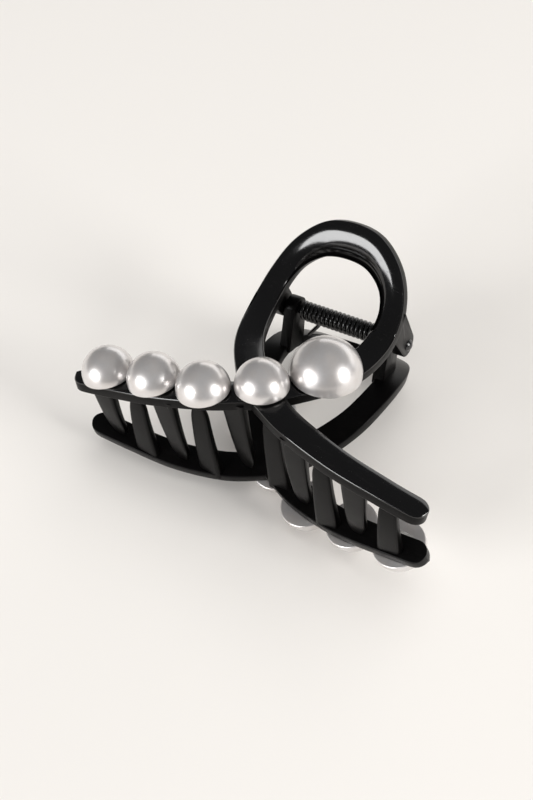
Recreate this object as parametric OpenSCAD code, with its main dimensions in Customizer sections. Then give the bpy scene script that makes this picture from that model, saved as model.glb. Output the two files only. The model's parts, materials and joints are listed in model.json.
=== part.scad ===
// Claw clip for hair: two moulded halves that cross over into finger loops, a spring-loaded
// hinge pin between the loops, and a row of flat-backed pearls along one leg of each half.
// The clip lies on its side on a table. X runs along the hinge, Y towards the finger loops
// and Z up. The lower half is the upper half turned half a turn about Y, apart from its lugs:
// they stand on the pin just inside the upper half's.

/* [Legs] */
// Distance from the middle of the clip to the tip of a leg
leg_reach = 43.2; // [42.6:0.1:44]
// Height of the outer face above the clip's mid-plane where the legs cross
crown_h = 14.6; // [14:0.1:15.5]
// Thickness of the moulded band at its edges
band_t = 2.6; // [2.2:0.1:3]
// Extra thickness in the middle of the band's rounded outer face
band_crown = 0.5; // [0.2:0.1:0.7]

/* [Teeth] */
// Width of a tooth where it leaves the band
tooth_root_w = 5.6; // [4.8:0.1:5.8]
// Width of a tooth just above its rounded tip
tooth_tip_w = 3.8; // [3.2:0.1:4]
// Thickness of a tooth from front to back at the band
tooth_t = 2.4; // [2:0.1:2.8]
// Gap between a tooth's tip and the inner face of the other half
tooth_gap = 0.9; // [0.7:0.1:1.5]

/* [Hinge] */
// Distance from the crossing's front edge to the hinge axis
hinge_y = 38.2; // [37.6:0.1:39]
// Diameter of the hinge pin
pin_d = 2.2; // [2:0.1:2.3]
// Radial clearance of the pin in the upper half's lugs
pin_clear = 0.05; // [0.03:0.01:0.08]
// Thickness of each lug along the pin
lug_t = 3.0; // [2.6:0.1:3.0]
// Gap between each head of the pin and the lug beside it
head_gap = 0.06; // [0.04:0.01:0.1]
// Radius of a lug's round end
lug_r = 2.9; // [2.6:0.1:3]

/* [Spring] */
// Outer diameter of the torsion spring
spring_d = 4.8; // [4.7:0.1:5]
// Diameter of the spring wire
wire_d = 1.0; // [0.9:0.05:1.0]
// Number of turns in the spring
spring_turns = 18; // [12:1:18]

/* [Pearls] */
// Diameter of the four small pearls on each half
pearl_d = 12; // [11.6:0.1:12]
// Diameter of the large pearl on each half
large_pearl_d = 16; // [15:0.1:16]
// Thickness of the glue between a pearl and its seat
glue_t = 0.5; // [0.45:0.05:0.6]

/* [Rest] */
// Pitch of the clip's mid-plane as it lies on the table
rest_pitch = 2.7; // [-8:0.1:8]
// Roll of the clip's mid-plane as it lies on the table
rest_roll = -7; // [-12:0.1:12]
// Height of the clip's middle above the table
rest_height = 20.77; // [20:0.01:25]

/* [Hidden] */

// The plan of one strand, from the tip of a leg through the crossing to the top of the loop:
// [x, y, width across the strand in plan].
STRAND = [[leg_reach, -6.5, 5.3], [leg_reach - 2.8, -6.5, 5.4], [33, -6.1, 5.6], [22, -5.0, 6.0],
          [11, -2.2, 6.4], [4, 1.0, 6.6], [0, 3.4, 6.7], [-4.3, 7.2, 6.8], [-9.2, 13.4, 6.8],
          [-12.4, 19.0, 6.5], [-14.1, 24.6, 6.2], [-14.8, 30.6, 6.0], [-14.2, 36.6, 5.6],
          [-11.6, 41.4, 5.4], [-6.4, 44.7, 5.2], [0, 45.6, 5.1]];
STEPS = 4;              // stations between two plan points
STRAND_SINK = 0.15;     // how far one strand's faces lie inside the other's where they overlap

MIDDLE_Y = 20.07;       // middle of the resting clip's depth

// Heights of the outer face: a quartic along Y with a waist and a flared loop, less a fall
// towards the tips along X. Lengths are counted in units of 10 mm along Y and 40 mm along X.
function rise(x, y) = let (v = y / 10, u = x / 40)
    crown_h - 1.36 * v - 0.53 * v * v + 0.051 * pow(v, 4)
    + (-7.95 + 0.88 * v * v) * u * u + 1.94 * pow(u, 4);

// A smooth curve through the plan points, as [x, y, width]. Past the top of the loop it goes
// down the other side.
TOP = len(STRAND) - 1;
function mirrored(p) = [-p[0], p[1], p[2]];
function plan_pt(i) = i > TOP ? mirrored(STRAND[2 * TOP - i]) : STRAND[max(0, i)];
function smooth(a, b, c, d, t) =
    0.5 * (2 * b + (c - a) * t + (2 * a - 5 * b + 4 * c - d) * t * t + (3 * b - a - 3 * c + d) * t * t * t);
function plan(s) = s > TOP ? mirrored(plan(2 * TOP - s)) : let (i = min(floor(s), TOP - 1))
    smooth(plan_pt(i - 1), plan_pt(i), plan_pt(i + 1), plan_pt(i + 2), s - i);

// Width left at a distance from the tip, so that the leg ends in a half circle.
function tip_factor(d, r) = d >= r ? 1 : sqrt(max(0.01, 1 - pow(1 - d / r, 2)));

function unit(v) = v / norm(v);
function on_face(x, y) = [x, y, rise(x, y)];

// One section of the band at plan parameter s: a flat inner face, upright edges with a small
// corner radius, and a rounded outer face. sink pulls all faces in by a small amount.
SECTION = [[-0.44, -1], [-0.5, -0.86], [-0.5, -0.1], [-0.47, 0.45], [-0.38, 0.85], [-0.2, 0.97], [0, 1],
           [0.2, 0.97], [0.38, 0.85], [0.47, 0.45], [0.5, -0.1], [0.5, -0.86], [0.44, -1]];
function section(s, sink) =
    let (p = plan(s), q = plan(s + 0.02), r = plan(s - 0.02),
         w = p[2] * tip_factor(leg_reach - p[0], 2.7),
         dir = unit([q[0] - r[0], q[1] - r[1]]),
         left = on_face(p[0] - dir[1] * w / 2, p[1] + dir[0] * w / 2),
         right = on_face(p[0] + dir[1] * w / 2, p[1] - dir[0] * w / 2),
         across = unit(right - left), width = norm(right - left),
         ahead = unit(on_face(q[0], q[1]) - on_face(r[0], r[1])),
         up = unit(cross(across, ahead)), mid = (left + right) / 2)
    [for (c = SECTION) mid + across * c[0] * (width - 2 * sink)
        + up * (c[1] > 0 ? c[1] * band_crown - sink : c[1] * band_t + (c[1] < -0.5 ? sink : -sink))];

// A solid skinned over a list of equal sections, closed at both ends.
module skin(rings) {
    n = len(rings[0]);
    m = len(rings);
    points = [for (ring = rings) for (p = ring) p];
    sides = [for (i = [0:m - 2]) for (j = [0:n - 1]) let (k = (j + 1) % n)
        each [[i * n + j, i * n + k, (i + 1) * n + k], [i * n + j, (i + 1) * n + k, (i + 1) * n + j]]];
    first = [[for (j = [n - 1:-1:0]) j]];
    last = [[for (j = [0:n - 1]) (m - 1) * n + j]];
    polyhedron(points, concat(sides, first, last), convexity = 8);
}

// One strand from the top of the loop to the leg's tip, where the stations crowd together.
module strand(sink, past_top) {
    skin([for (s = concat([for (i = [TOP * STEPS + past_top:-1:STEPS]) i / STEPS], [0.7, 0.4, 0.18, 0.06]))
        section(s, sink)]);
}

// Front edge of the leg in plan at a distance x from the middle.
function edge_y(x) = let (u = abs(x) / 40) -26 * u + 25.8 * u * u - 8.9 * u * u * u;

// Places of the teeth, counted from the middle of the clip, and how far their tips lean inwards.
PEARL_LEG_TEETH = [[4.2, 0.0], [19.2, 0.4], [34.9, 0.2]];
PLAIN_LEG_TEETH = [[12.2, 0.2], [27.4, 0.6]];
TOOTH_STEPS = 8;
TOOTH_SECTION = [[-0.4, 0], [0.4, 0], [0.5, 0.2], [0.5, 0.8], [0.4, 1], [-0.4, 1], [-0.5, 0.8], [-0.5, 0.2]];

// One tooth: it leaves the inner face flush with the leg's front edge, stands across the gap
// and curls back a little at its tapered tip.
module tooth(place, side) {
    x0 = place[0];
    top = rise(x0, edge_y(x0)) - 1.2;
    x1 = x0 - place[1];
    bottom = -(rise(x1, edge_y(x1)) - band_t - tooth_gap);
    skin([for (i = [0:TOOTH_STEPS]) let (
            t = i / TOOTH_STEPS,
            near_tip = max(0, t - 0.8) / 0.2,
            w = (tooth_root_w + (tooth_tip_w - tooth_root_w) * t) * sqrt(1 - 0.75 * near_tip * near_tip),
            d = tooth_t * (1 - 0.4 * t) * sqrt(1 - 0.6 * near_tip * near_tip),
            x = side * (x0 + (x1 - x0) * t),
            y = edge_y(x) + 0.12 + 1.4 * t * t * t,
            z = top + (bottom - top) * t)
        [for (c = TOOTH_SECTION) [x + c[0] * w, y + c[1] * d, z]]]);
}

LUG_GAP = 0.5;          // space between the lugs of the two halves, side by side on the pin
outer_lug_x = 14.5;     // inner face of each of the upper half's lugs
inner_lug_x = outer_lug_x - LUG_GAP - lug_t;    // the same for the lower half's lugs

// One lug from x_in outwards: a post that leans back from the band's waist and ends round the pin.
module lug(x_in, bore_r) {
    back = hinge_y - 0.6;
    front = hinge_y - 7.2;
    difference() {
        translate([x_in, 0, 0]) rotate([90, 0, 90]) linear_extrude(lug_t) {
            translate([hinge_y, 0]) circle(lug_r, $fn = 48);
            polygon([[hinge_y - 0.85 * lug_r, -0.5 * lug_r], [hinge_y + 0.97 * lug_r, 0.2 * lug_r],
                     [back, rise(outer_lug_x, back) - 1.5], [front, rise(outer_lug_x, front) - 1.3]]);
        }
        translate([x_in - 1, hinge_y, 0]) rotate([0, 90, 0]) cylinder(h = lug_t + 2, r = bore_r, $fn = 48);
    }
}

COIL_GAP = 0.12;        // space between two turns of the spring
TURN_STEPS = 16;        // stations round one turn

// Places of the pearls on a half: [x, y, diameter], the large one last.
PEARLS = [[-35.0, -4.6, pearl_d], [-23.0, -3.4, pearl_d], [-10.8, -2.2, pearl_d], [0.0, 3.8, pearl_d],
          [9.5, 14.2, large_pearl_d]];

SEAT_R = 2.4;           // radius of the round seat under a pearl
SEAT_DEPTH = 0.3;       // depth of the seat below the band's crest
RIM_H = 0.4;            // height of a pearl's straight rim

// Stands its children in the middle of a pearl's seat, square to the band's outer face.
module on_seat(p) {
    h = 0.5;
    sx = (rise(p[0] + h, p[1]) - rise(p[0] - h, p[1])) / (2 * h);
    sy = (rise(p[0], p[1] + h) - rise(p[0], p[1] - h)) / (2 * h);
    translate([p[0], p[1], rise(p[0], p[1])]) rotate([atan(sy), -atan(sx), 0])
        translate([0, 0, band_crown - SEAT_DEPTH]) children();
}

// One moulded half with its teeth and its two lugs, in the upper half's place.
module half(lug_x, bore_r) {
    difference() {
        union() {
            strand(STRAND_SINK, 2);
            mirror([1, 0, 0]) strand(0, 0);
            for (place = PEARL_LEG_TEETH) tooth(place, -1);
            for (place = PLAIN_LEG_TEETH) tooth(place, 1);
            for (x_in = [lug_x, -lug_x - lug_t]) lug(x_in, bore_r);
        }
        for (p = PEARLS) on_seat(p) cylinder(h = 3, r = SEAT_R, $fn = 32);
    }
}

// A flat-backed pearl: a short straight rim below a round dome.
module pearl(p) {
    r = p[2] / 2;
    on_seat(p) translate([0, 0, glue_t]) rotate_extrude($fn = 64) union() {
        square([r, RIM_H]);
        translate([0, RIM_H]) intersection() {
            circle(r, $fn = 64);
            square([r, r]);
        }
    }
}

// The glue pads of one half: each fills the seat under a pearl.
module glue() {
    for (p = PEARLS) on_seat(p) cylinder(h = glue_t, r = SEAT_R, $fn = 32);
}

// The lower half's place: the upper half turned half a turn about Y.
module turned() {
    rotate([0, 180, 0]) children();
}

// Puts the whole clip on the table, with the origin below the middle of its outline.
module at_rest() {
    translate([0, -MIDDLE_Y, rest_height]) rotate([rest_pitch, 0, 0]) rotate([0, rest_roll, 0]) children();
}

module upper_half() {
    color("#141416") at_rest() half(outer_lug_x, pin_d / 2 + pin_clear);
}

module lower_half() {
    color("#141416") at_rest() turned() half(inner_lug_x, pin_d / 2);
}

HEAD_R = 1.45;          // radius of the pin's heads
HEAD_H = 0.8;           // their height
DOME_R = 1.75;          // radius of their domed tops

module hinge_pin() {
    reach = outer_lug_x + lug_t + head_gap;
    color("#202022") at_rest() translate([0, hinge_y, 0]) rotate([0, 90, 0]) {
        translate([0, 0, -reach]) cylinder(h = 2 * reach, r = pin_d / 2, $fn = 48);
        for (end = [0, 1]) mirror([0, 0, end]) translate([0, 0, reach]) rotate_extrude($fn = 48)
            intersection() {
                translate([0, HEAD_H - DOME_R]) circle(DOME_R, $fn = 48);
                square([HEAD_R, HEAD_H]);
            }
    }
}

// The torsion spring: a close coil round the pin. Its left arm turns at a knee below the coil
// and ends in the corner between the lower half's lug and band. Its right arm goes up and bends
// outwards under the upper loop.
LEFT_TIP = [-10.4, 0.5, -9.2];
LEFT_KNEE = [-7.2, 1.4, -5.5];
RIGHT_TIP_X = 13.4;
RIGHT_RISE = 9;         // height at which the right arm starts to bend
module torsion_spring() {
    r = (spring_d - wire_d) / 2;
    length = spring_turns * (wire_d + COIL_GAP);
    total = spring_turns * TURN_STEPS;
    start = [-length / 2, r, 0];
    function wire(c, side, out) = [for (b = [0:60:300]) c + (side * cos(b) + out * sin(b)) * wire_d / 2];
    // One section of an arm, square to the way ahead.
    function arm(c, ahead) = let (out = unit([0, 1, 0] - ahead * ahead[1])) wire(c, cross(out, ahead), out);
    rise_1 = unit(LEFT_KNEE - LEFT_TIP);
    rise_2 = unit(start - LEFT_KNEE);
    color("#1c1c1e") at_rest() translate([0, hinge_y, 0])
        skin(concat(
            [arm(LEFT_TIP, rise_1), arm(LEFT_KNEE - 0.4 * rise_1, rise_1),
             arm(LEFT_KNEE, unit(rise_1 + rise_2)), arm(LEFT_KNEE + 0.4 * rise_2, rise_2)],
            [for (i = [0:total]) let (a = i * 360 / TURN_STEPS)
                wire([-length / 2 + length * i / total, r * cos(a), r * sin(a)], [1, 0, 0], [0, cos(a), sin(a)])],
            [arm([length / 2, r + 0.2, RIGHT_RISE], [0, 0, 1]),
             arm([length / 2 + 0.3, r + 0.2, RIGHT_RISE + 0.7], unit([1, 0, 1])),
             arm([length / 2 + 1, r + 0.2, RIGHT_RISE + 1], [1, 0, 0]),
             arm([RIGHT_TIP_X, r, RIGHT_RISE + 1.2], [1, 0, 0])]));
}

module upper_pearl(i) {
    color("#e4e2e2") at_rest() pearl(PEARLS[i]);
}

module lower_pearl(i) {
    color("#e4e2e2") at_rest() turned() pearl(PEARLS[i]);
}

module upper_glue() {
    color("#cfcfca") at_rest() glue();
}

module lower_glue() {
    color("#cfcfca") at_rest() turned() glue();
}

upper_half();
lower_half();
hinge_pin();
torsion_spring();
upper_pearl(0);  // upper_pearl_1
upper_pearl(1);  // upper_pearl_2
upper_pearl(2);  // upper_pearl_3
upper_pearl(3);  // upper_pearl_4
upper_pearl(4);  // upper_pearl_large
lower_pearl(0);  // lower_pearl_1
lower_pearl(1);  // lower_pearl_2
lower_pearl(2);  // lower_pearl_3
lower_pearl(3);  // lower_pearl_4
lower_pearl(4);  // lower_pearl_large
upper_glue();
lower_glue();
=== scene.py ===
"""Looks of a hair claw clip: two moulded black halves, a sprung hinge and ten flat-backed pearls.

Shapes are built in the clip's own frame, in millimetres: x along the hinge, y from the
crossing of the legs towards the finger loops, and z out of the upper half. ClipFrame places
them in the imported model's frame, in metres. The lower half is the upper half turned half a
turn about y, apart from its lugs, which stand just inside the upper half's.
"""

import json
import logging
import math
from collections.abc import Callable, Iterable, Sequence
from dataclasses import dataclass, field
from enum import Enum

import bmesh
import bpy
from mathutils import Matrix, Vector, noise


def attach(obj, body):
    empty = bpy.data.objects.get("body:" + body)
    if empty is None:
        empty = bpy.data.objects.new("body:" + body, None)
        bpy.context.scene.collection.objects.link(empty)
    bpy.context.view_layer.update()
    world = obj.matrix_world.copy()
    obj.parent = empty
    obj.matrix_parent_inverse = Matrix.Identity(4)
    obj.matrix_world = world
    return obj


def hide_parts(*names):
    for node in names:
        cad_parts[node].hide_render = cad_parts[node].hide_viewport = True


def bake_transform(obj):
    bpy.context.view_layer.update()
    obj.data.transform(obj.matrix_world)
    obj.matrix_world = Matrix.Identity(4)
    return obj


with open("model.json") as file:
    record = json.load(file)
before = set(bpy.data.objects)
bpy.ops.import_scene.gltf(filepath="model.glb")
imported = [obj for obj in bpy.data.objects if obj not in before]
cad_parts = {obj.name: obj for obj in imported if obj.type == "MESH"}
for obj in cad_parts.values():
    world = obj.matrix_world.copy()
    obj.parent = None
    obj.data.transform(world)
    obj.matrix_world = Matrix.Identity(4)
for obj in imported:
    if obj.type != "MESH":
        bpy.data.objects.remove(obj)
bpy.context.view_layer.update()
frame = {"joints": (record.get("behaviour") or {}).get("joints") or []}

MM = 0.001
LOG = logging.getLogger("claw_clip")


class Body(Enum):
    """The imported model's two bodies, by name."""

    LOWER = "lower"
    UPPER = "upper"


class Slot(Enum):
    """The record's material slots, by name."""

    MOULDED = "moulded_black"
    STEEL = "black_steel"
    SPRING = "spring_wire"
    PEARL = "pearl"
    GLUE = "glue"


# ---------------------------------------------------------------------------------------
# The clip's frame and shared mesh work
# ---------------------------------------------------------------------------------------


@dataclass(frozen=True)
class ClipFrame:
    """Where the clip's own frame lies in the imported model, taken from the hinge joint."""

    hinge_y: float = 38.2

    def matrix(self, body: Body) -> Matrix:
        """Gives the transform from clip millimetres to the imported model's metres.

        Args:
            body: The half whose own frame is wanted.

        Returns:
            The transform, with the half turn about y for the lower half.
        """
        joint = next(j for j in frame["joints"] if j["name"] == "hinge")
        across = -Vector(joint["axis"]).normalized()
        along = Vector((0, across.z, -across.y)).normalized()
        out = across.cross(along)
        turn = Matrix((across, along, out)).transposed().to_4x4()
        middle = Vector(joint["pos_m"]) - along * self.hinge_y * MM
        placed = Matrix.Translation(middle) @ turn @ Matrix.Scale(MM, 4)
        if body is Body.LOWER:
            placed = placed @ Matrix.Rotation(math.pi, 4, "Y")
        return placed


CLIP = ClipFrame()


def along_hinge(x: float) -> Matrix:
    """Returns the frame at x on the hinge axis whose z lies along the axis."""
    return Matrix.Translation((x, CLIP.hinge_y, 0)) @ Matrix.Rotation(math.pi / 2, 4, "Y")


def boundary(geometry: Iterable) -> list[bmesh.types.BMEdge]:
    """Returns the open edges among some mesh elements."""
    return [g for g in geometry if isinstance(g, bmesh.types.BMEdge) and g.is_boundary]


def vertices(geometry: Iterable) -> list[bmesh.types.BMVert]:
    """Returns the vertices among some mesh elements."""
    return [g for g in geometry if isinstance(g, bmesh.types.BMVert)]


def pull(bm: bmesh.types.BMesh, rim: list[bmesh.types.BMEdge], step: Vector) -> list[bmesh.types.BMEdge]:
    """Extrudes an open rim by one step.

    Args:
        bm: The mesh.
        rim: The open edges to extrude.
        step: How far the new rim moves.

    Returns:
        The new rim's edges.
    """
    grown = bmesh.ops.extrude_edge_only(bm, edges=rim)["geom"]
    bmesh.ops.translate(bm, vec=step, verts=vertices(grown))
    return boundary(grown)


def swept(draw: Callable[[bmesh.types.BMesh], None], stations: Sequence[float],
          bend: Callable[[Vector], Vector]) -> bmesh.types.BMesh:
    """Extrudes a flat section along x into a straight bar, then bends the bar.

    Args:
        draw: Adds one face in the yz plane to an empty mesh.
        stations: Places along the bar, in rising order.
        bend: Gives a bar point's place in the clip.

    Returns:
        The bent, closed mesh.
    """
    bm = bmesh.new()
    draw(bm)
    bmesh.ops.translate(bm, vec=Vector((stations[0], 0, 0)), verts=bm.verts)
    rim = list(bm.edges)
    for here, there in zip(stations, stations[1:]):
        rim = pull(bm, rim, Vector((there - here, 0, 0)))
    bmesh.ops.holes_fill(bm, edges=rim, sides=0)
    for vertex in bm.verts:
        vertex.co = bend(vertex.co)
    bmesh.ops.recalc_face_normals(bm, faces=bm.faces)
    return bm


def flat_section(bm: bmesh.types.BMesh, width: float, depth: float, radius: float,
                 segments: int) -> None:
    """Draws a rounded rectangle in the yz plane: y across its middle, z from -depth to 0.

    Args:
        bm: The empty mesh.
        width: Size along y.
        depth: Size along z.
        radius: Corner radius.
        segments: Edges in each corner.
    """
    stand = Matrix(((0, 0, 1, 0), (width, 0, 0, 0), (0, depth, 0, -depth / 2), (0, 0, 0, 1)))
    bmesh.ops.create_grid(bm, x_segments=1, y_segments=1, size=0.5, matrix=stand)
    bmesh.ops.bevel(bm, geom=bm.verts[:], offset=radius, segments=segments, profile=0.5,
                    affect="VERTICES", material=-1)


def as_object(name: str, bm: bmesh.types.BMesh) -> bpy.types.Object:
    """Turns a bmesh into a linked object and frees it."""
    mesh = bpy.data.meshes.new(name)
    bm.to_mesh(mesh)
    bm.free()
    made = bpy.data.objects.new(name, mesh)
    bpy.context.scene.collection.objects.link(made)
    return made


def combined(base: bmesh.types.BMesh, joined: bmesh.types.BMesh,
             cut: bmesh.types.BMesh) -> bmesh.types.BMesh:
    """Joins one mesh to another, which may cross itself, and cuts a third away.

    Args:
        base: The mesh to build on.
        joined: The mesh to add.
        cut: The mesh to take away.

    Returns:
        The single closed result. The three given meshes are freed.
    """
    base_object = as_object("base", base)
    tools = [(as_object("joined", joined), "UNION"), (as_object("cut", cut), "DIFFERENCE")]
    for tool, operation in tools:
        modifier = base_object.modifiers.new(operation, "BOOLEAN")
        modifier.operation = operation
        modifier.solver = "EXACT"
        modifier.use_self = operation == "UNION"
        modifier.object = tool
    evaluated = base_object.evaluated_get(bpy.context.evaluated_depsgraph_get())
    result = bmesh.new()
    result.from_mesh(evaluated.to_mesh())
    evaluated.to_mesh_clear()
    for spent in [base_object] + [tool for tool, _ in tools]:
        mesh = spent.data
        bpy.data.objects.remove(spent)
        bpy.data.meshes.remove(mesh)
    return result


@dataclass
class Piece:
    """One finished piece of the clip and what it stands for."""

    name: str
    slot: Slot
    node: str
    sharp_angle: float = math.radians(35)
    weld: float = 0.002

    def make(self, bm: bmesh.types.BMesh, place: Matrix,
             materials: Sequence[bpy.types.Material]) -> bpy.types.Object:
        """Makes the object from a clip-frame mesh, shades it and replaces its CAD node.

        Args:
            bm: The mesh in clip millimetres. It is freed.
            place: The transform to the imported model's frame.
            materials: The object's materials, in slot order.

        Returns:
            The object, which rides on nothing yet.
        """
        bmesh.ops.remove_doubles(bm, verts=bm.verts, dist=self.weld)
        bmesh.ops.dissolve_degenerate(bm, dist=self.weld / 2, edges=bm.edges)
        bmesh.ops.recalc_face_normals(bm, faces=bm.faces)
        bmesh.ops.transform(bm, matrix=place, verts=bm.verts)
        for face in bm.faces:
            face.smooth = True
        made = as_object(self.name, bm)
        made.data.set_sharp_from_angle(angle=self.sharp_angle)
        for material in materials:
            made.data.materials.append(material)
        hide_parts(self.node)
        LOG.info("%s: %d faces for %s", self.name, len(made.data.polygons), self.node)
        return made


# ---------------------------------------------------------------------------------------
# Finishes
# ---------------------------------------------------------------------------------------


class NodeSheet:
    """A small helper that adds and links nodes in one node tree."""

    def __init__(self, tree: bpy.types.NodeTree) -> None:
        """Starts on an empty tree."""
        self.tree = tree
        tree.nodes.clear()

    def add(self, kind: str, **inputs: object) -> bpy.types.Node:
        """Adds a node and fills its inputs.

        Args:
            kind: The node's type name.
            **inputs: Input names with underscores for spaces, each with a value or a socket.

        Returns:
            The node.
        """
        node = self.tree.nodes.new(kind)
        for name, value in inputs.items():
            self.feed(node, name.replace("_", " "), value)
        return node

    def feed(self, node: bpy.types.Node, name: str, value: object) -> None:
        """Links a socket to a node's input, or sets the input's value."""
        if isinstance(value, bpy.types.NodeSocket):
            self.tree.links.new(value, node.inputs[name])
        else:
            node.inputs[name].default_value = value

    def maths(self, operation: str, first: object, second: object = 0.0) -> bpy.types.NodeSocket:
        """Adds a Math node and returns its result."""
        node = self.tree.nodes.new("ShaderNodeMath")
        node.operation = operation
        for socket, value in zip(node.inputs, (first, second)):
            if isinstance(value, bpy.types.NodeSocket):
                self.tree.links.new(value, socket)
            else:
                socket.default_value = value
        return node.outputs[0]

    def spread(self, value: bpy.types.NodeSocket, low: float, high: float, to_low: float,
               to_high: float) -> bpy.types.NodeSocket:
        """Maps a value's range to another one, clamped, and returns the result."""
        node = self.add("ShaderNodeMapRange", Value=value, From_Min=low, From_Max=high,
                        To_Min=to_low, To_Max=to_high)
        return node.outputs["Result"]

    def blended(self, factor: object, first: object, second: object) -> bpy.types.NodeSocket:
        """Mixes two colours and returns the result."""
        node = self.tree.nodes.new("ShaderNodeMix")
        node.data_type = "RGBA"
        for socket, value in ((node.inputs[0], factor), (node.inputs[6], first), (node.inputs[7], second)):
            if isinstance(value, bpy.types.NodeSocket):
                self.tree.links.new(value, socket)
            else:
                socket.default_value = value
        return node.outputs[2]


def group_sheet(name: str, inputs: Sequence[tuple[str, str, object]],
                outputs: Sequence[tuple[str, str]]) -> tuple[NodeSheet, bpy.types.Node, bpy.types.Node]:
    """Makes an empty shader node group with named sockets.

    Args:
        name: The group's name.
        inputs: Name, socket type and default value of each input.
        outputs: Name and socket type of each output.

    Returns:
        The sheet to fill, the group's input node and its output node.
    """
    tree = bpy.data.node_groups.new(name, "ShaderNodeTree")
    for label, kind, value in inputs:
        socket = tree.interface.new_socket(name=label, in_out="INPUT", socket_type=kind)
        if value is not None:
            socket.default_value = value
    for label, kind in outputs:
        tree.interface.new_socket(name=label, in_out="OUTPUT", socket_type=kind)
    sheet = NodeSheet(tree)
    return sheet, sheet.add("NodeGroupInput"), sheet.add("NodeGroupOutput")


def moulding_grain() -> bpy.types.NodeTree:
    """Builds the group for the skin of a moulding: fine grain over slow waves.

    Returns:
        A group that gives a height and a roughness change over the surface.
    """
    sheet, given, out = group_sheet(
        "MouldingGrain",
        (("Vector", "NodeSocketVector", None), ("Grain Scale", "NodeSocketFloat", 4000.0),
         ("Wave Scale", "NodeSocketFloat", 180.0), ("Wave Share", "NodeSocketFloat", 0.5)),
        (("Height", "NodeSocketFloat"), ("Rub", "NodeSocketFloat")))
    vector = given.outputs["Vector"]
    grain = sheet.add("ShaderNodeTexNoise", Vector=vector, Scale=given.outputs["Grain Scale"], Detail=2.0)
    wave = sheet.add("ShaderNodeTexNoise", Vector=vector, Scale=given.outputs["Wave Scale"], Detail=3.0)
    share = given.outputs["Wave Share"]
    slow = sheet.maths("MULTIPLY", wave.outputs[0], share)
    fine = sheet.maths("MULTIPLY", grain.outputs[0], sheet.maths("SUBTRACT", 1.0, share))
    sheet.feed(out, "Height", sheet.maths("ADD", slow, fine))
    sheet.feed(out, "Rub", sheet.spread(wave.outputs[0], 0.35, 0.7, 0.0, 1.0))
    return sheet.tree


def handling_marks() -> bpy.types.NodeTree:
    """Builds the group for the fine marks that handling leaves: hairlines and specks of dust.

    Returns:
        A group that gives a mask of hairlines and a mask of specks.
    """
    sheet, given, out = group_sheet(
        "HandlingMarks",
        (("Vector", "NodeSocketVector", None), ("Line Scale", "NodeSocketFloat", 260.0),
         ("Speck Scale", "NodeSocketFloat", 900.0)),
        (("Lines", "NodeSocketFloat"), ("Specks", "NodeSocketFloat")))
    stretched = sheet.add("ShaderNodeMapping", Vector=given.outputs["Vector"], Rotation=(0.3, 0.2, 0.6),
                          Scale=(1.0, 14.0, 6.0))
    lines = sheet.add("ShaderNodeTexNoise", Vector=stretched.outputs[0], Scale=given.outputs["Line Scale"],
                      Detail=4.0, Roughness=0.7)
    sheet.feed(out, "Lines", sheet.spread(lines.outputs[0], 0.56, 0.72, 0.0, 1.0))
    specks = sheet.add("ShaderNodeTexVoronoi", Vector=given.outputs["Vector"],
                       Scale=given.outputs["Speck Scale"])
    sheet.feed(out, "Specks", sheet.spread(specks.outputs["Distance"], 0.06, 0.1, 1.0, 0.0))
    return sheet.tree


@dataclass(frozen=True)
class Finish:
    """What every finish has: a name and a Principled shader at the end of its sheet."""

    name: str

    def start(self) -> tuple[bpy.types.Material, NodeSheet, bpy.types.Node, bpy.types.NodeSocket]:
        """Makes an empty material.

        Returns:
            The material, its sheet, its Principled shader and the object coordinates.
        """
        material = bpy.data.materials.new(self.name)
        material.use_nodes = True
        sheet = NodeSheet(material.node_tree)
        shader = sheet.add("ShaderNodeBsdfPrincipled")
        sheet.add("ShaderNodeOutputMaterial", Surface=shader.outputs[0])
        place = sheet.add("ShaderNodeTexCoord").outputs["Object"]
        return material, sheet, shader, place


@dataclass(frozen=True)
class MouldedPlastic(Finish):
    """Black injection-moulded plastic, from polished to satin. The black coat on steel and wire
    is the same finish with a stronger gloss."""

    grain: bpy.types.NodeTree
    marks: bpy.types.NodeTree
    shade: tuple[float, float, float] = (0.0028, 0.0026, 0.0027)
    worn_shade: tuple[float, float, float] = (0.008, 0.0075, 0.0075)
    roughness: float = 0.1
    roughness_change: float = 0.05
    mark_roughness: float = 0.2
    bump: float = 0.05
    bump_depth: float = 0.00002
    grain_scale: float = 2600.0
    wave_share: float = 0.75
    specular: float = 0.65

    def build(self) -> bpy.types.Material:
        """Builds the material and returns it."""
        material, sheet, shader, place = self.start()
        skin = sheet.add("ShaderNodeGroup")
        skin.node_tree = self.grain
        rub = sheet.add("ShaderNodeGroup")
        rub.node_tree = self.marks
        for node in (skin, rub):
            sheet.feed(node, "Vector", place)
        sheet.feed(skin, "Grain Scale", self.grain_scale)
        sheet.feed(skin, "Wave Share", self.wave_share)
        lines = sheet.maths("MULTIPLY", rub.outputs["Lines"], skin.outputs["Rub"])
        marked = sheet.maths("MAXIMUM", lines, rub.outputs["Specks"])
        sheet.feed(shader, "Base Color", sheet.blended(marked, (*self.shade, 1), (*self.worn_shade, 1)))
        dull = self.roughness + self.roughness_change
        even = sheet.spread(skin.outputs["Rub"], 0.0, 1.0, self.roughness, dull)
        uneven = sheet.maths("MULTIPLY", marked, self.mark_roughness)
        sheet.feed(shader, "Roughness", sheet.maths("ADD", even, uneven))
        bump = sheet.add("ShaderNodeBump", Height=skin.outputs["Height"], Strength=self.bump,
                         Distance=self.bump_depth)
        sheet.feed(shader, "Normal", bump.outputs[0])
        sheet.feed(shader, "Specular IOR Level", self.specular)
        return material


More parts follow.
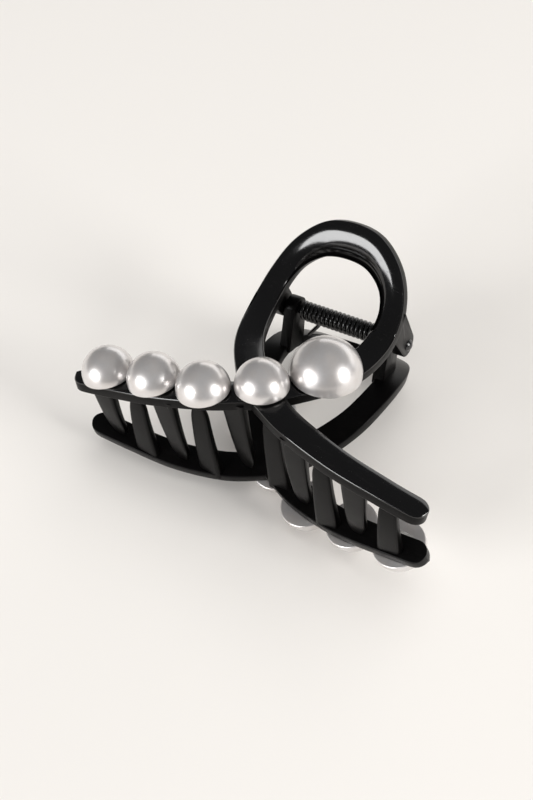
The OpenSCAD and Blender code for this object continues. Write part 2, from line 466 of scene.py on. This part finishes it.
@dataclass(frozen=True)
class PearlCoat(Finish):
    """A silvery pearl coating: cloudy white under a clear gloss."""

    grain: bpy.types.NodeTree
    body: tuple[float, float, float] = (0.66, 0.625, 0.605)
    cloud: tuple[float, float, float] = (0.73, 0.71, 0.705)
    metallic: float = 0.7
    roughness: float = 0.3
    # How much the metal share and the roughness vary with the clouds.
    variation: float = 0.05
    coat: float = 0.8
    coat_roughness: float = 0.07
    cloud_scale: float = 320.0
    wave_scale: float = 500.0
    bump: float = 0.1
    bump_depth: float = 0.00002

    def build(self) -> bpy.types.Material:
        """Builds the material and returns it."""
        material, sheet, shader, place = self.start()
        clouds = sheet.add("ShaderNodeTexNoise", Vector=place, Scale=self.cloud_scale, Detail=3.0)
        depth = sheet.spread(clouds.outputs[0], 0.35, 0.65, 0.0, 1.0)
        sheet.feed(shader, "Base Color", sheet.blended(depth, (*self.body, 1), (*self.cloud, 1)))
        low, high = self.metallic - self.variation, self.metallic + self.variation
        sheet.feed(shader, "Metallic", sheet.spread(depth, 0.0, 1.0, low, high))
        dull = self.roughness + self.variation
        sheet.feed(shader, "Roughness", sheet.spread(depth, 0.0, 1.0, self.roughness, dull))
        skin = sheet.add("ShaderNodeGroup")
        skin.node_tree = self.grain
        sheet.feed(skin, "Vector", place)
        sheet.feed(skin, "Wave Scale", self.wave_scale)
        bump = sheet.add("ShaderNodeBump", Height=skin.outputs["Height"], Strength=self.bump,
                         Distance=self.bump_depth)
        sheet.feed(shader, "Normal", bump.outputs[0])
        sheet.feed(shader, "Coat Weight", self.coat)
        sheet.feed(shader, "Coat Roughness", self.coat_roughness)
        return material


@dataclass(frozen=True)
class ClearGlue(Finish):
    """Set adhesive: clear, slightly milky and uneven."""

    milk: tuple[float, float, float] = (0.72, 0.71, 0.69)
    clear: tuple[float, float, float] = (0.9, 0.89, 0.87)

    def build(self) -> bpy.types.Material:
        """Builds the material and returns it."""
        material, sheet, shader, place = self.start()
        clouds = sheet.add("ShaderNodeTexNoise", Vector=place, Scale=900.0, Detail=2.0)
        depth = sheet.spread(clouds.outputs[0], 0.4, 0.6, 0.0, 1.0)
        sheet.feed(shader, "Base Color", sheet.blended(depth, (*self.milk, 1), (*self.clear, 1)))
        sheet.feed(shader, "Roughness", sheet.spread(depth, 0.0, 1.0, 0.08, 0.2))
        sheet.feed(shader, "Transmission Weight", 0.7)
        sheet.feed(shader, "IOR", 1.47)
        return material


@dataclass(frozen=True)
class PaleSurface(Finish):
    """The pale matt surface that the clip lies on."""

    shade: tuple[float, float, float] = (0.80, 0.775, 0.745)
    # How much lighter the surface is in its slow, soft patches.
    patch_gain: float = 1.02

    def build(self) -> bpy.types.Material:
        """Builds the material and returns it."""
        material, sheet, shader, place = self.start()
        clouds = sheet.add("ShaderNodeTexNoise", Vector=place, Scale=3.0, Detail=2.0)
        soft = sheet.spread(clouds.outputs[0], 0.3, 0.7, 0.0, 1.0)
        lighter = tuple(channel * self.patch_gain for channel in self.shade)
        sheet.feed(shader, "Base Color", sheet.blended(soft, (*self.shade, 1), (*lighter, 1)))
        sheet.feed(shader, "Roughness", 0.85)
        sheet.feed(shader, "Specular IOR Level", 0.2)
        return material


@dataclass
class Palette:
    """All the clip's materials, built once."""

    gloss: bpy.types.Material = field(init=False)
    satin: bpy.types.Material = field(init=False)
    steel: bpy.types.Material = field(init=False)
    wire: bpy.types.Material = field(init=False)
    pearl: bpy.types.Material = field(init=False)
    glue: bpy.types.Material = field(init=False)

    def __post_init__(self) -> None:
        """Builds the shared groups and every material."""
        grain, marks = moulding_grain(), handling_marks()
        self.gloss = MouldedPlastic("moulded_gloss", grain, marks).build()
        self.satin = MouldedPlastic("moulded_satin", grain, marks, shade=(0.0022, 0.002, 0.002),
                                    roughness=0.3, specular=0.12, bump=0.25, wave_share=0.3).build()
        self.steel = MouldedPlastic("coated_steel", grain, marks, shade=(0.006, 0.006, 0.007),
                                    roughness=0.2, specular=0.8).build()
        self.wire = MouldedPlastic("coated_wire", grain, marks, shade=(0.006, 0.006, 0.006),
                                   roughness=0.2, specular=0.8).build()
        self.pearl = PearlCoat("pearl_coat", grain).build()
        self.glue = ClearGlue("clear_glue").build()


# ---------------------------------------------------------------------------------------
# The moulded halves
# ---------------------------------------------------------------------------------------


@dataclass
class Moulding:
    """One moulded half: a band that runs from one leg's tip round the finger loop to the other
    leg's tip and crosses itself on the way, with five teeth and two hinge lugs."""

    leg_reach: float = 43.2
    # Height of the outer face above the mid-plane where the legs cross.
    crown_h: float = 14.6
    band_t: float = 2.6
    band_w: float = 6.2
    band_crown: float = 0.5
    crown_power: float = 2.6
    # How many times higher the crown is at the top of the loop than on the legs.
    loop_crown: float = 2.4
    # How much lower the loop's face lies at its inner edge than at its outer edge.
    loop_roll: float = 1.1
    # The loop's section begins to form at this y and is complete after this length.
    loop_start: float = 18.0
    loop_change: float = 26.0
    edge_radius: float = 0.3
    tip_radius: float = 2.7
    # The plan of one strand, from a leg's tip to the top of the loop: (x, y, width).
    strand: tuple[tuple[float, float, float], ...] = (
        (43.2, -6.5, 5.3), (40.4, -6.5, 5.4), (33, -6.1, 5.6), (22, -5.0, 6.0), (11, -2.2, 6.4),
        (4, 1.0, 6.6), (0, 3.4, 6.7), (-4.3, 7.2, 6.8), (-9.2, 13.4, 6.8), (-12.4, 19.0, 6.5),
        (-14.1, 24.6, 6.2), (-14.8, 30.6, 6.0), (-14.2, 36.6, 5.6), (-11.6, 41.4, 5.4),
        (-6.4, 44.7, 5.2), (0, 45.6, 5.1))
    steps: int = 8
    # Places of the teeth from the middle, and how far their tips lean inwards.
    pearl_leg_teeth: tuple[tuple[float, float], ...] = ((4.2, 0.0), (19.2, 0.4), (34.9, 0.2))
    plain_leg_teeth: tuple[tuple[float, float], ...] = ((12.2, 0.2), (27.4, 0.6))
    tooth_root_w: float = 5.6
    tooth_tip_w: float = 3.8
    tooth_t: float = 2.4
    tooth_gap: float = 0.9
    # How deep a tooth reaches into the band, and how far its tip curls back.
    tooth_sink: float = 1.2
    tooth_curl: float = 1.4
    # Share of a tooth's length at which its rounded tip begins.
    tip_start: float = 0.8
    lug_t: float = 3.0
    lug_r: float = 2.9
    lug_bore_r: float = 1.15
    outer_lug_x: float = 14.5
    lug_gap: float = 0.5
    # A lug's foot, front and back: distance before the hinge, and depth below the band's face.
    lug_foot: tuple[tuple[float, float], ...] = ((7.2, 1.3), (0.6, 1.5))
    lug_edge: float = 0.25
    seat_r: float = 2.4
    seat_depth: float = 0.3
    # The moulding is polished down to this depth below its outer face, and satin elsewhere.
    polish_depth: float = 0.45

    def rise(self, x: float, y: float) -> float:
        """Returns the height of the outer face above the clip's mid-plane."""
        v, u = y / 10, x / 40
        return (self.crown_h - 1.36 * v - 0.53 * v**2 + 0.051 * v**4
                + (-7.95 + 0.88 * v**2) * u**2 + 1.94 * u**4)

    def on_face(self, x: float, y: float) -> Vector:
        """Returns the point of the outer face at a place in plan."""
        return Vector((x, y, self.rise(x, y)))

    def edge_y(self, x: float) -> float:
        """Returns the place of a leg's front edge."""
        u = abs(x) / 40
        return -26 * u + 25.8 * u**2 - 8.9 * u**3

    @property
    def top(self) -> int:
        """The strand's last plan point, at the top of the loop."""
        return len(self.strand) - 1

    def plan_point(self, i: int) -> Vector:
        """Returns one plan point, counted from one leg's tip on to the other leg's."""
        if i > self.top:
            x, y, width = self.strand[max(0, 2 * self.top - i)]
            return Vector((-x, y, width))
        return Vector(self.strand[max(0, i)])

    def plan(self, s: float) -> Vector:
        """Returns the smooth plan (x, y, width) at parameter s."""
        i = min(int(s), 2 * self.top - 1)
        t = s - i
        a, b, c, d = (self.plan_point(i + k) for k in (-1, 0, 1, 2))
        return 0.5 * (2 * b + (c - a) * t + (2 * a - 5 * b + 4 * c - d) * t**2
                      + (3 * b - a - 3 * c + d) * t**3)

    def tip_share(self, x: float) -> float:
        """Returns the share of the width that is left near a leg's rounded tip."""
        left = (self.leg_reach - abs(x)) / self.tip_radius
        return 1.0 if left >= 1 else math.sqrt(max(0.01, 1 - (1 - left) ** 2))

    def section_frame(self, s: float) -> tuple[Vector, Vector, Vector]:
        """Gives the band's cross axes at parameter s.

        Args:
            s: Parameter along the band.

        Returns:
            The middle of the outer face's edges, the vector across them and the outward normal.
        """
        x, y, width = self.plan(s)
        width *= self.tip_share(x)
        nearby = 0.02
        back, fore = self.plan(s - nearby), self.plan(s + nearby)
        run = (fore - back).xy.normalized()
        side = Vector((-run.y, run.x)) * width / 2
        left, right = self.on_face(x + side.x, y + side.y), self.on_face(x - side.x, y - side.y)
        ahead = self.on_face(fore.x, fore.y) - self.on_face(back.x, back.y)
        normal = (right - left).cross(ahead).normalized()
        return (left + right) / 2, right - left, normal

    def loop_share(self, y: float) -> float:
        """Returns how far the section at y has turned into the loop's, from 0 to 1."""
        t = min(1.0, max(0.0, (y - self.loop_start) / self.loop_change))
        return t * t * (3 - 2 * t)

    def draw_section(self, bm: bmesh.types.BMesh) -> None:
        """Draws the band's section: a flat inner face, upright sides and a rounded outer face."""
        flat_section(bm, self.band_w, self.band_t, self.edge_radius, 4)
        outer = max(bm.edges, key=lambda e: e.calc_length() + sum(v.co.z for v in e.verts))
        bmesh.ops.subdivide_edges(bm, edges=[outer], cuts=11)
        for vertex in bm.verts:
            share = vertex.co.y / self.band_w
            if vertex.co.z > -self.band_t / 2:
                vertex.co.z += self.band_crown * (1 - (2 * abs(share)) ** self.crown_power)
            vertex.co.y = share

    def band(self) -> bmesh.types.BMesh:
        """Builds the whole band, which crosses itself between the legs and the loop."""
        tip = [0.0, 0.03, 0.08, 0.15, 0.25, 0.4, 0.6, 0.8]
        middle = [1 + i / self.steps for i in range((2 * self.top - 2) * self.steps + 1)]
        stations = tip + middle + [2 * self.top - s for s in reversed(tip)]
        frames: dict[float, tuple[Vector, Vector, Vector]] = {}

        def bend(point: Vector) -> Vector:
            """Places a bar point on the band."""
            s = round(point.x, 3)
            if s not in frames:
                frames[s] = self.section_frame(s)
            middle_point, across, normal = frames[s]
            share = self.loop_share(middle_point.y)
            lift = point.z
            if lift > 0:
                inwards = 0.5 - math.copysign(point.y, across.y * point.y)
                lift *= 1 + share * (self.loop_crown - 1)
                lift -= share * self.loop_roll * inwards
            return middle_point + across * point.y + normal * lift

        return swept(self.draw_section, stations, bend)

    def tooth(self, place: tuple[float, float], side: int) -> bmesh.types.BMesh:
        """Builds one tooth, which stands flush with the leg's front edge.

        Args:
            place: Distance from the middle, and how far the tip leans inwards.
            side: 1 for the plain leg and -1 for the pearl leg.

        Returns:
            The closed tooth, which reaches into the band.
        """
        x0, lean = place
        high = self.rise(x0, self.edge_y(x0)) - self.tooth_sink
        x1 = x0 - lean
        low = -(self.rise(x1, self.edge_y(x1)) - self.band_t - self.tooth_gap)

        def bend(point: Vector) -> Vector:
            """Places a bar point on the tooth."""
            t = point.x
            near_tip = max(0.0, t - self.tip_start) / (1 - self.tip_start)
            width = self.tooth_root_w + (self.tooth_tip_w - self.tooth_root_w) * t
            width *= math.sqrt(1 - 0.75 * near_tip**2)
            depth = self.tooth_t * (1 - 0.4 * t) * math.sqrt(1 - 0.6 * near_tip**2)
            x = side * (x0 + (x1 - x0) * t)
            y = self.edge_y(x) + 0.04 + self.tooth_curl * t**3
            return Vector((x + point.y * width, y - point.z * depth, high + (low - high) * t))

        stations = [i / 10 for i in range(9)] + [0.84, 0.88, 0.915, 0.945, 0.97, 0.99, 1.0]
        return swept(lambda bm: flat_section(bm, 1, 1, 0.17, 3), stations, bend)

    def lug_x(self, body: Body) -> float:
        """Returns where a half's lugs begin: the lower half's stand inside the upper half's."""
        return self.outer_lug_x if body is Body.UPPER else self.outer_lug_x - self.lug_gap - self.lug_t

    def lug(self, x_in: float) -> bmesh.types.BMesh:
        """Builds one hinge lug from x_in outwards: a leaning post with a round end at the pin."""
        bm = bmesh.new()
        bmesh.ops.create_cone(bm, cap_ends=True, segments=40, radius1=self.lug_r, radius2=self.lug_r,
                              depth=self.lug_t, matrix=along_hinge(x_in + self.lug_t / 2))
        for before, sink in self.lug_foot:
            y = CLIP.hinge_y - before
            z = self.rise(self.outer_lug_x, y) - sink
            for x in (x_in, x_in + self.lug_t):
                bmesh.ops.create_vert(bm, co=(x, y, z))
        hull = bmesh.ops.convex_hull(bm, input=bm.verts)
        bmesh.ops.delete(bm, geom=hull["geom_interior"], context="VERTS")
        bmesh.ops.dissolve_limit(bm, angle_limit=math.radians(2), verts=bm.verts, edges=bm.edges)
        crisp = [e for e in bm.edges if len(e.link_faces) == 2 and e.calc_face_angle() > math.radians(40)]
        bmesh.ops.bevel(bm, geom=crisp, offset=self.lug_edge, segments=2, profile=0.5, affect="EDGES",
                        material=-1)
        bmesh.ops.recalc_face_normals(bm, faces=bm.faces)
        return bm

    def cutter(self, seats: Iterable[Matrix]) -> bmesh.types.BMesh:
        """Builds what is cut away: the pin's bore and a shallow seat under each pearl."""
        bm = bmesh.new()
        bmesh.ops.create_cone(bm, cap_ends=True, segments=48, radius1=self.lug_bore_r,
                              radius2=self.lug_bore_r, depth=40, matrix=along_hinge(0))
        height = 3.0
        raised = Matrix.Translation((0, 0, height / 2 - self.seat_depth))
        for seat in seats:
            bmesh.ops.create_cone(bm, cap_ends=True, segments=32, radius1=self.seat_r,
                                  radius2=self.seat_r, depth=height, matrix=seat @ raised)
        return bm

    def solid(self, body: Body, seats: Iterable[Matrix]) -> bmesh.types.BMesh:
        """Builds the whole half, in the upper half's place, and marks its satin faces.

        Args:
            body: Which half it is, which settles where its lugs stand.
            seats: The frame of each pearl's seat.

        Returns:
            The half, with material 0 on polished faces and 1 on satin ones.
        """
        added = bmesh.new()
        inner = self.lug_x(body)
        parts = [self.tooth(p, -1) for p in self.pearl_leg_teeth]
        parts += [self.tooth(p, 1) for p in self.plain_leg_teeth]
        parts += [self.lug(inner), self.lug(-inner - self.lug_t)]
        for part in parts:
            mesh = bpy.data.meshes.new("part")
            part.to_mesh(mesh)
            added.from_mesh(mesh)
            bpy.data.meshes.remove(mesh)
            part.free()
        bm = combined(self.band(), added, self.cutter(seats))
        for face in bm.faces:
            x, y, z = face.calc_center_median()
            face.material_index = 0 if self.rise(x, y) - z < self.polish_depth else 1
        return bm


# ---------------------------------------------------------------------------------------
# Pearls and glue
# ---------------------------------------------------------------------------------------


@dataclass(frozen=True)
class PearlPlace:
    """One pearl's place on a half, and the way its glue has run, in degrees."""

    label: str
    x: float
    y: float
    diameter: float
    heading: float


@dataclass
class PearlRow:
    """The flat-backed pearls of a half and the glue under them."""

    moulding: Moulding
    places: tuple[PearlPlace, ...] = (
        PearlPlace("1", -35.0, -4.6, 12, 4), PearlPlace("2", -23.0, -3.4, 12, 7),
        PearlPlace("3", -10.8, -2.2, 12, 14), PearlPlace("4", 0.0, 3.8, 12, 36),
        PearlPlace("large", 9.5, 14.2, 16, 52))
    # Height of a pearl's flat back above the band's crest.
    back_h: float = 0.2
    rim_h: float = 0.4
    rim_radius: float = 0.28
    # Half the length, width and height of a pad of glue.
    pad: tuple[float, float, float] = (4.3, 2.75, 0.36)

    def seat(self, place: PearlPlace) -> Matrix:
        """Returns the frame on the band at a pearl's place, square to the outer face."""
        h = 0.5
        rise = self.moulding.rise
        slope_x = (rise(place.x + h, place.y) - rise(place.x - h, place.y)) / (2 * h)
        slope_y = (rise(place.x, place.y + h) - rise(place.x, place.y - h)) / (2 * h)
        turn = Matrix.Rotation(-math.atan(slope_x), 4, "Y")
        tip = Matrix.Rotation(math.atan(slope_y), 4, "X")
        level = Matrix.Translation(self.moulding.on_face(place.x, place.y))
        return level @ turn @ tip @ Matrix.Translation((0, 0, self.moulding.band_crown))

    def pearl(self, place: PearlPlace) -> bmesh.types.BMesh:
        """Builds one pearl: a round dome on a short rim, with a softened edge and a flat back."""
        bm = bmesh.new()
        radius = place.diameter / 2
        bmesh.ops.create_uvsphere(bm, u_segments=72, v_segments=56, radius=radius)
        bmesh.ops.bisect_plane(bm, geom=bm.verts[:] + bm.edges[:] + bm.faces[:], plane_co=(0, 0, 0),
                               plane_no=(0, 0, 1), clear_inner=True, dist=0.001)
        rim = pull(bm, boundary(bm.edges), Vector((0, 0, -self.rim_h)))
        back = bmesh.ops.holes_fill(bm, edges=rim, sides=0)["faces"]
        bmesh.ops.bevel(bm, geom=list(back[0].edges), offset=self.rim_radius, segments=4, profile=0.5,
                        affect="EDGES", material=-1)
        flat = max(bm.faces, key=lambda face: len(face.verts))
        bmesh.ops.inset_region(bm, faces=[flat], thickness=radius * 0.3, depth=0)
        raised = Matrix.Translation((0, 0, self.back_h + self.rim_h))
        bmesh.ops.transform(bm, matrix=self.seat(place) @ raised, verts=bm.verts)
        return bm

    def glue(self) -> bmesh.types.BMesh:
        """Builds the glue under every pearl: a pad in the seat that has squeezed out unevenly."""
        bm = bmesh.new()
        length, width, height = self.pad
        for place in self.places:
            pad = bmesh.ops.create_uvsphere(bm, u_segments=40, v_segments=20, radius=1)["verts"]
            for vertex in pad:
                edge = math.hypot(vertex.co.x, vertex.co.y)
                swell = 1 + 0.13 * edge * noise.noise(vertex.co * 2.3 + Vector((place.x, place.y, 0)))
                vertex.co.x *= length * swell
                vertex.co.y *= width * swell
                vertex.co.z *= height * (1 + 0.3 * noise.noise(vertex.co * 0.9))
            turn = Matrix.Rotation(math.radians(place.heading), 4, "Z")
            bmesh.ops.transform(bm, matrix=self.seat(place) @ turn, verts=pad)
        return bm


# ---------------------------------------------------------------------------------------
# Hinge pin and spring
# ---------------------------------------------------------------------------------------


@dataclass
class HingePin:
    """The riveted pin: a shaft with a domed head at each end."""

    radius: float = 1.1
    # Distance from the middle to the underside of each head.
    reach: float = 17.56
    dome_r: float = 1.75
    # How far the dome's centre lies inside the head's underside.
    dome_sink: float = 0.95

    def build(self) -> bmesh.types.BMesh:
        """Builds the pin by spinning half of its outline and mirroring it."""
        bm = bmesh.new()
        centre = Vector((self.reach - self.dome_sink, CLIP.hinge_y, 0))
        pole = bmesh.ops.create_vert(bm, co=centre + Vector((self.dome_r, 0, 0)))["vert"][0]
        sweep = math.acos(self.dome_sink / self.dome_r)
        arc = bmesh.ops.spin(bm, geom=[pole], cent=centre, axis=(0, 0, 1), angle=sweep, steps=8,
                             use_merge=False, use_normal_flip=False, use_duplicate=False)
        end = vertices(arc["geom_last"])[0]
        head_r = (end.co - centre).y
        for step in (Vector((-0.12, -0.02, 0)), Vector((-0.03, self.radius - head_r + 0.02, 0)),
                     Vector((-self.reach + 0.15, 0, 0))):
            grown = bmesh.ops.extrude_vert_indiv(bm, verts=[end])
            end = grown["verts"][0]
            end.co += step
        bmesh.ops.spin(bm, geom=bm.verts[:] + bm.edges[:], cent=(0, CLIP.hinge_y, 0), axis=(1, 0, 0),
                       angle=2 * math.pi, steps=40, use_merge=True, use_normal_flip=False,
                       use_duplicate=False)
        bmesh.ops.mirror(bm, geom=bm.verts[:] + bm.edges[:] + bm.faces[:], matrix=Matrix.Identity(4),
                         merge_dist=0.001, axis="X")
        return bm


@dataclass
class Wire:
    """The free end of a wire on a bender: it is fed straight ahead or bent round a former."""

    bm: bmesh.types.BMesh
    rim: list[bmesh.types.BMEdge]
    ahead: Vector
    former_r: float = 0.8
    bend_steps: int = 8

    @property
    def corners(self) -> list[bmesh.types.BMVert]:
        """The vertices round the wire's end."""
        return list(dict.fromkeys(vertex for edge in self.rim for vertex in edge.verts))

    @property
    def place(self) -> Vector:
        """The middle of the wire's end."""
        return sum((vertex.co for vertex in self.corners), Vector()) / len(self.rim)

    def feed(self, length: float) -> None:
        """Feeds the wire straight ahead."""
        self.rim = pull(self.bm, self.rim, self.ahead * length)

    def bend(self, towards: Vector) -> None:
        """Bends the wire round the former until it points in a direction."""
        towards = towards.normalized()
        inward = (towards - self.ahead * towards.dot(self.ahead)).normalized()
        centre = self.place + inward * self.former_r
        turned = bmesh.ops.spin(self.bm, geom=self.corners + self.rim, cent=centre,
                                axis=self.ahead.cross(towards), angle=self.ahead.angle(towards),
                                steps=self.bend_steps, use_merge=False, use_normal_flip=False,
                                use_duplicate=False)
        self.rim = boundary(turned["geom_last"])
        self.ahead = towards

    def cut_off(self) -> None:
        """Closes the end with a slightly rounded face."""
        for share, scale in ((0.06, 0.9), (0.04, 0.72)):
            self.feed(share)
            bmesh.ops.scale(self.bm, vec=(scale, scale, scale), verts=self.corners,
                            space=Matrix.Translation(-self.place))
        bmesh.ops.holes_fill(self.bm, edges=self.rim, sides=0)


@dataclass
class TorsionSpring:
    """A close coil round the pin, with an arm from each end: the left one bends at a knee and
    pushes the lower half, and the right one has a foot under the upper loop."""

    coil_d: float = 4.8
    wire_d: float = 1.0
    turns: int = 18
    gap: float = 0.12
    turn_steps: int = 30
    wire_sides: int = 12
    knee: tuple[float, float, float] = (-7.2, 39.6, -5.5)
    left_tip: tuple[float, float, float] = (-10.4, 38.7, -9.2)
    right_arm: float = 9.0
    right_foot: float = 2.2

    @property
    def length(self) -> float:
        """The coil's length between the middles of its first and last wires."""
        return self.turns * (self.wire_d + self.gap)

    def build(self) -> bmesh.types.BMesh:
        """Builds the coil by spinning the wire's ring and bends both arms from its ends."""
        bm = bmesh.new()
        mean_r = (self.coil_d - self.wire_d) / 2
        start = Matrix.Translation((-self.length / 2, CLIP.hinge_y + mean_r, 0))
        ring = bmesh.ops.create_circle(bm, segments=self.wire_sides, radius=self.wire_d / 2, matrix=start)
        first = list(bm.edges)
        steps = self.turns * self.turn_steps
        coil = bmesh.ops.spin(bm, geom=ring["verts"] + first, cent=(0, CLIP.hinge_y, 0), axis=(1, 0, 0),
                              dvec=(self.length / steps, 0, 0), angle=2 * math.pi * self.turns, steps=steps,
                              use_merge=False, use_normal_flip=False, use_duplicate=False)
        right = Wire(bm, boundary(coil["geom_last"]), Vector((0, 0, 1)))
        right.feed(self.right_arm)
        right.bend(Vector((1, 0, 0.1)))
        right.feed(self.right_foot)
        right.cut_off()
        left = Wire(bm, boundary(first), Vector((0, 0, -1)))
        for corner in (self.knee, self.left_tip):
            left.bend(Vector(corner) - left.place)
            left.feed((Vector(corner) - left.place).length - left.former_r * 0.5)
        left.cut_off()
        return bm


# ---------------------------------------------------------------------------------------
# The whole clip and its studio
# ---------------------------------------------------------------------------------------


@dataclass
class Clip:
    """The whole clip, piece by piece."""

    palette: Palette
    moulding: Moulding = field(default_factory=Moulding)

    def build_halves(self) -> None:
        """Builds both halves, each with its pearls and glue."""
        row = PearlRow(self.moulding)
        for body in Body:
            place = CLIP.matrix(body)
            side = body.value
            finishes = [self.palette.gloss, self.palette.satin]
            solid = self.moulding.solid(body, [row.seat(p) for p in row.places])
            half = Piece(f"{side}_moulding", Slot.MOULDED, f"{side}_half")
            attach(half.make(solid, place, finishes), side)
            glue = Piece(f"{side}_glue_pads", Slot.GLUE, f"{side}_glue")
            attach(glue.make(row.glue(), place, [self.palette.glue]), side)
            for p in row.places:
                piece = Piece(f"{side}_dome_{p.label}", Slot.PEARL, f"{side}_pearl_{p.label}")
                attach(piece.make(row.pearl(p), place, [self.palette.pearl]), side)

    def build_hinge(self) -> None:
        """Builds the pin, which rides on the lower half, and the spring."""
        place = CLIP.matrix(Body.UPPER)
        pin = Piece("rivet_pin", Slot.STEEL, "hinge_pin")
        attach(pin.make(HingePin().build(), place, [self.palette.steel]), Body.LOWER.value)
        spring = TorsionSpring()
        piece = Piece("coil_spring", Slot.SPRING, "torsion_spring", weld=0.0005)
        coil = piece.make(spring.build(), place, [self.palette.wire])
        reach = spring.length / 2 - spring.wire_d
        ends = [tuple(place @ Vector((side * reach, CLIP.hinge_y, 0))) for side in (-1, 1)]
        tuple(ends[0])
        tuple(ends[1])
        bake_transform(coil)


@dataclass
class Studio:
    """The surface, the lights and the camera. None of it belongs to the clip."""

    target: tuple[float, float, float] = (-0.00226, -0.01382, 0.02707)
    azimuth: float = 28.64
    elevation: float = 52.63
    roll: float = 1.17
    distance: float = 0.25
    lens: float = 51.38
    surface_size: float = 6.0

    def lay_surface(self) -> None:
        """Lays the pale surface under the clip."""
        bm = bmesh.new()
        bmesh.ops.create_grid(bm, x_segments=8, y_segments=8, size=self.surface_size / 2)
        surface = as_object("surface", bm)
        surface.data.materials.append(PaleSurface("pale_surface").build())

    def hang_light(self, name: str, direction: tuple[float, float, float], distance: float,
                   size: tuple[float, float], watts: float, tint: tuple[float, float, float],
                   mirrored: bool = True) -> None:
        """Hangs one soft light.

        Args:
            name: The light's name.
            direction: From the clip towards the light.
            distance: From the clip to the light.
            size: The light's width and height.
            watts: Its power.
            tint: Its colour.
            mirrored: Whether glossy surfaces show it.
        """
        data = bpy.data.lights.new(name, "AREA")
        data.shape = "RECTANGLE"
        data.size, data.size_y = size
        data.energy = watts
        data.color = tint
        lamp = bpy.data.objects.new(name, data)
        bpy.context.scene.collection.objects.link(lamp)
        away = Vector(direction).normalized()
        lamp.location = Vector(self.target) + away * distance
        lamp.rotation_mode = "QUATERNION"
        lamp.rotation_quaternion = away.to_track_quat("Z", "Y")
        lamp.visible_glossy = mirrored

    def light(self) -> None:
        """Sets up two soft boxes, the bounce from the ceiling and the far wall, and the dim room."""
        warm, neutral = (1.0, 0.985, 0.965), (1.0, 1.0, 1.0)
        self.hang_light("left_box", (-0.43, -0.87, 0.30), 1.8, (1.0, 0.75), 28.0, neutral)
        self.hang_light("right_box", (0.93, -0.01, 0.40), 1.8, (0.6, 0.8), 22.0, warm)
        self.hang_light("ceiling_bounce", (0.1, 0.15, 1.0), 1.2, (1.6, 1.6), 12.0, warm, mirrored=False)
        self.hang_light("far_wall", (0.1, 1.0, 0.22), 2.2, (4.0, 0.9), 16.0, warm)
        world = bpy.data.worlds.new("room")
        world.use_nodes = True
        room = world.node_tree.nodes["Background"]
        room.inputs["Color"].default_value = (0.95, 0.97, 1.0, 1)
        room.inputs["Strength"].default_value = 0.10
        bpy.context.scene.world = world

    def set_camera(self) -> None:
        """Sets up the camera."""
        data = bpy.data.cameras.new("camera")
        data.lens = self.lens
        data.sensor_width = 36
        data.clip_start, data.clip_end = 0.01, 20
        camera = bpy.data.objects.new("camera", data)
        bpy.context.scene.collection.objects.link(camera)
        azimuth, elevation = math.radians(self.azimuth), math.radians(self.elevation)
        turn = Matrix.Rotation(azimuth, 4, "Z") @ Matrix.Rotation(math.pi / 2 - elevation, 4, "X")
        camera.location = Vector(self.target) + turn @ Vector((0, 0, self.distance))
        camera.rotation_euler = (turn @ Matrix.Rotation(math.radians(self.roll), 4, "Z")).to_euler()
        bpy.context.scene.camera = camera


def main() -> None:
    """Builds the studio and the clip."""
    logging.basicConfig(level=logging.INFO, format="%(name)s %(message)s")
    bpy.context.scene.view_settings.view_transform = "Standard"
    studio = Studio()
    studio.set_camera()
    studio.lay_surface()
    studio.light()
    clip = Clip(Palette())
    clip.build_halves()
    clip.build_hinge()


if __name__ == "__main__":
    main()
